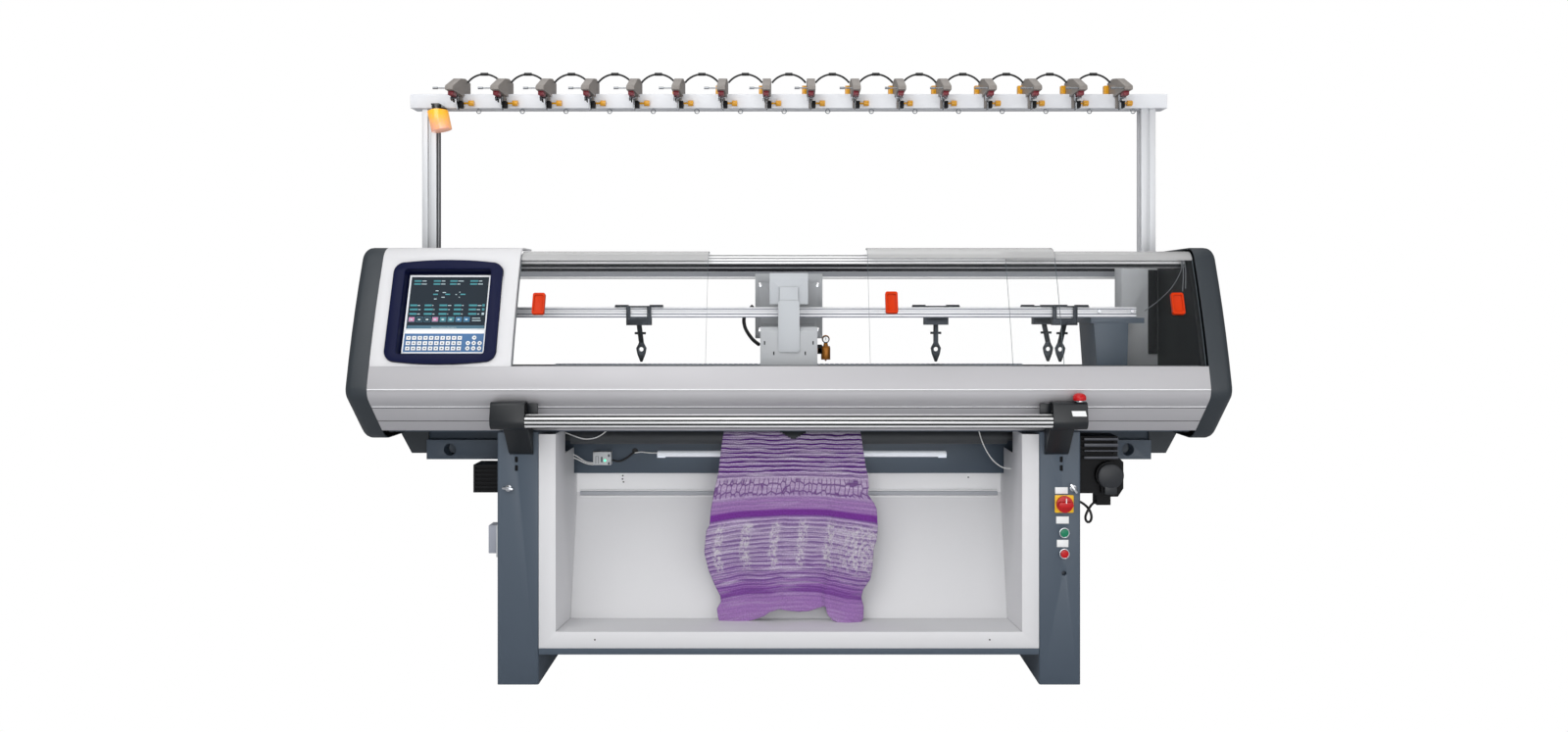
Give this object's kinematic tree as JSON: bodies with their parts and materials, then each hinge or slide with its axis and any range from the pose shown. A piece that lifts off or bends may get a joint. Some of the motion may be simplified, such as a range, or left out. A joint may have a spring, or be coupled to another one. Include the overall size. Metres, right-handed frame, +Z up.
{
  "type": "flat knitting machine",
  "caption": "Flat knitting machine with V-shaped needle beds, a travelling carriage, yarn carriers on rails, sliding clear doors, a console, a catch tray and an overhead yarn bar.",
  "frame": {"origin": "on the floor, under the middle of the machine's box", "axes": "+X along the needle beds to the operator's right, -Y to the operator, +Z up"},
  "size_m": [2.4, 0.86, 1.7638],
  "materials": {
    "grey_powder_coat": "satin powder coat",
    "white_powder_coat": "fine white powder coat",
    "needle_steel": "ground steel",
    "apron_aluminium": "matt anodised extrusion",
    "charcoal_plastic": "fine moulded texture",
    "black_plate": "black paint",
    "navy_plastic": "smooth moulded",
    "display_panel": "moulded panel with dark screen",
    "bright_aluminium": "clear anodised extrusion",
    "column_paint": "light grey paint",
    "bar_paint": "white paint",
    "tension_casting": "cast and painted",
    "amber_plastic": "moulded",
    "guide_steel": "polished wire",
    "cable_rubber": "matt",
    "lamp_amber": "translucent moulding",
    "yellow_plastic": "moulded",
    "red_plastic": "moulded",
    "green_plastic": "moulded",
    "chrome_trim": "polished",
    "motor_black": "black paint on cast alloy",
    "lamp_plastic": "frosted tube",
    "box_plastic": "moulded",
    "purple_knit": "striped knit",
    "oiler_brass": "cast",
    "carrier_steel": "dark sheet",
    "clear_acrylic": "clear bent sheet",
    "orange_plastic": "moulded",
    "roller_rubber": "ground rubber on steel",
    "pulley_alloy": "turned"
  },
  "bodies": {
    "frame": {"left_leg": "grey_powder_coat", "right_leg": "grey_powder_coat", "cross_beam": "grey_powder_coat", "base_rails": "grey_powder_coat", "catch_tray": "white_powder_coat", "bed_base": "grey_powder_coat", "front_needle_bed": "needle_steel", "front_apron": "apron_aluminium", "rear_apron": "apron_aluminium", "left_end_cap": "charcoal_plastic", "right_end_cap": "charcoal_plastic", "side_plates": "black_plate", "console_cover": "white_powder_coat", "console_bezel": "navy_plastic", "display_unit": "display_panel", "top_rails": "bright_aluminium", "yarn_rails": "bright_aluminium", "rail_columns": "column_paint", "posts": "bright_aluminium", "creel_bar": "bar_paint", "tension_bodies": "tension_casting", "tension_knobs": "amber_plastic", "yarn_eyelets": "guide_steel", "tension_cables": "cable_rubber", "signal_lamp": "lamp_amber", "left_bracket": "charcoal_plastic", "right_bracket": "charcoal_plastic", "switch_plate": "yellow_plastic", "button_collars": "chrome_trim", "takedown_motor": "motor_black", "racking_motor": "motor_black", "work_lamp": "lamp_plastic", "junction_boxes": "box_plastic", "knitted_panel": "purple_knit", "drive_belt": "cable_rubber"},
    "carriage": {"carriage_body": "column_paint", "carriage_bridge": "bar_paint", "carriage_oiler": "oiler_brass"},
    "left_door_body": {"left_door": "clear_acrylic", "left_door_handle": "orange_plastic"},
    "middle_door_body": {"middle_door": "clear_acrylic", "middle_door_handle": "orange_plastic"},
    "right_door_body": {"right_door": "clear_acrylic", "right_door_handle": "orange_plastic"},
    "rear_needle_bed_body": {"rear_needle_bed": "needle_steel"},
    "yarn_carrier_1_body": {"yarn_carrier_1": "carrier_steel"},
    "yarn_carrier_2_body": {"yarn_carrier_2": "carrier_steel"},
    "yarn_carrier_3_body": {"yarn_carrier_3": "carrier_steel"},
    "yarn_carrier_4_body": {"yarn_carrier_4": "carrier_steel"},
    "start_bar_body": {"start_bar": "bright_aluminium"},
    "switch_knob_body": {"switch_knob": "red_plastic"},
    "start_button_body": {"start_button": "green_plastic"},
    "stop_button_body": {"stop_button": "red_plastic"},
    "estop_button_body": {"estop_button": "red_plastic"},
    "left_lock_body": {"left_lock": "chrome_trim"},
    "right_lock_body": {"right_lock": "chrome_trim"},
    "front_roller_body": {"front_roller": "roller_rubber"},
    "rear_roller_body": {"rear_roller": "roller_rubber"},
    "left_pulley_body": {"left_pulley": "pulley_alloy"},
    "right_pulley_body": {"right_pulley": "pulley_alloy"}
  },
  "joints": [
    {"name": "carriage_travel", "type": "slide", "parent": "frame", "child": "carriage", "axis": [1, 0, 0], "range_m": [-0.75, 0.75]},
    {"name": "left_door_slide", "type": "slide", "parent": "frame", "child": "left_door_body", "axis": [1, 0, 0], "range_m": [0, 0.38]},
    {"name": "middle_door_slide", "type": "slide", "parent": "frame", "child": "middle_door_body", "axis": [1, 0, 0], "range_m": [-0.48, 0.15]},
    {"name": "right_door_slide", "type": "slide", "parent": "frame", "child": "right_door_body", "axis": [1, 0, 0], "range_m": [-0.15, 0]},
    {"name": "carrier_1_slide", "type": "slide", "parent": "frame", "child": "yarn_carrier_1_body", "axis": [1, 0, 0], "range_m": [-0.3, 0.7]},
    {"name": "carrier_2_slide", "type": "slide", "parent": "frame", "child": "yarn_carrier_2_body", "axis": [1, 0, 0], "range_m": [-1, 0.4]},
    {"name": "carrier_3_slide", "type": "slide", "parent": "frame", "child": "yarn_carrier_3_body", "axis": [1, 0, 0], "range_m": [-1.4, 0.06]},
    {"name": "carrier_4_slide", "type": "slide", "parent": "frame", "child": "yarn_carrier_4_body", "axis": [1, 0, 0], "range_m": [-0.32, 0.03]},
    {"name": "racking_slide", "type": "slide", "parent": "frame", "child": "rear_needle_bed_body", "axis": [1, 0, 0], "range_m": [-0.025, 0.025]},
    {"name": "start_bar_turn", "type": "hinge", "parent": "frame", "child": "start_bar_body", "pos_m": [0, -0.411, 0.743], "axis": [1, 0, 0], "range_deg": [-15, 15], "stiffness_Nm_per_rad": 4},
    {"name": "main_switch_turn", "type": "hinge", "parent": "frame", "child": "switch_knob_body", "pos_m": [0.764, -0.3, 0.502], "axis": [0, -1, 0], "range_deg": [0, 90]},
    {"name": "start_button_press", "type": "slide", "parent": "frame", "child": "start_button_body", "axis": [0, 1, 0], "range_m": [0, 0.004], "stiffness_N_per_m": 300},
    {"name": "stop_button_press", "type": "slide", "parent": "frame", "child": "stop_button_body", "axis": [0, 1, 0], "range_m": [0, 0.004], "stiffness_N_per_m": 300},
    {"name": "estop_press", "type": "slide", "parent": "frame", "child": "estop_button_body", "axis": [0, 0, -1], "range_m": [0, 0.004], "stiffness_N_per_m": 500},
    {"name": "left_lock_turn", "type": "hinge", "parent": "frame", "child": "left_lock_body", "pos_m": [-0.778, -0.3, 0.546], "axis": [0, -1, 0], "range_deg": [0, 90]},
    {"name": "right_lock_turn", "type": "hinge", "parent": "frame", "child": "right_lock_body", "pos_m": [0.788, -0.3, 0.546], "axis": [0, -1, 0], "range_deg": [0, 90]},
    {"name": "front_roller_turn", "type": "hinge", "parent": "frame", "child": "front_roller_body", "pos_m": [0, -0.121, 0.665], "axis": [1, 0, 0], "continuous": true},
    {"name": "rear_roller_turn", "type": "hinge", "parent": "frame", "child": "rear_roller_body", "pos_m": [0, -0.079, 0.665], "axis": [1, 0, 0], "continuous": true},
    {"name": "left_pulley_turn", "type": "hinge", "parent": "frame", "child": "left_pulley_body", "pos_m": [-1.065, 0.14, 0.83], "axis": [0, 1, 0], "range_deg": [-1420, 1420]},
    {"name": "right_pulley_turn", "type": "hinge", "parent": "frame", "child": "right_pulley_body", "pos_m": [1.065, 0.14, 0.83], "axis": [0, 1, 0], "range_deg": [-1420, 1420]}
  ],
  "couplings": [
    {"joint": "rear_roller_turn", "follows": "front_roller_turn", "ratio": -1},
    {"joint": "left_pulley_turn", "follows": "carriage_travel", "rad_per_m": 31.447},
    {"joint": "right_pulley_turn", "follows": "carriage_travel", "rad_per_m": 31.447}
  ]
}
